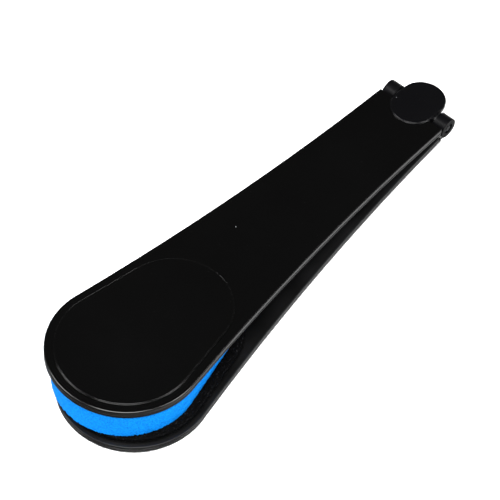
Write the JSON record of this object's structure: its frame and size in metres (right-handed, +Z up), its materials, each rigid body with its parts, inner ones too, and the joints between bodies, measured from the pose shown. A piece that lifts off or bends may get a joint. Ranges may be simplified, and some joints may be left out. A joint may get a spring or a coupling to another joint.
{
  "type": "folding two-arm sponge cleaning tool",
  "caption": "Black folding long-reach cleaning tool: two hinged paddle arms closed over a blue sponge and a pile pad, with a round-ended hinge plate.",
  "frame": {"origin": "on the table under the middle of the folded tool's outline", "axes": "+Z up, hinge end towards +X, round heads towards -X, hinge pin along Y"},
  "size_m": [0.2944, 0.0886, 0.0308],
  "materials": {
    "shell": "gloss",
    "cover": "satin",
    "panel": "gloss",
    "disc": "satin",
    "hook": "matte",
    "pile": "matte",
    "foam": "matte",
    "pin_steel": "satin",
    "spring_steel": "satin",
    "zinc": "satin",
    "acetal": "matte"
  },
  "bodies": {
    "lower_arm": {"lower_shell": "shell", "lower_cover": "cover", "lower_panel": "panel", "lower_screws": "zinc", "pad_sheet": "hook", "pile_pad": "pile", "hinge_pin": "pin_steel", "pin_ring_left": "spring_steel", "pin_ring_right": "spring_steel", "washer_left": "acetal", "spring_washer": "spring_steel"},
    "upper_arm": {"upper_shell": "shell", "upper_cover": "cover", "upper_panel": "panel", "upper_screws": "zinc", "sponge_sheet": "hook", "sponge": "foam", "hinge_disc": "disc", "bush_left": "acetal", "bush_right": "acetal"}
  },
  "joints": [
    {"name": "fold", "type": "hinge", "parent": "lower_arm", "child": "upper_arm", "pos_m": [0.13067, 0.00331, 0.0059], "axis": [0, 1, 0], "range_deg": [0, 176]}
  ]
}
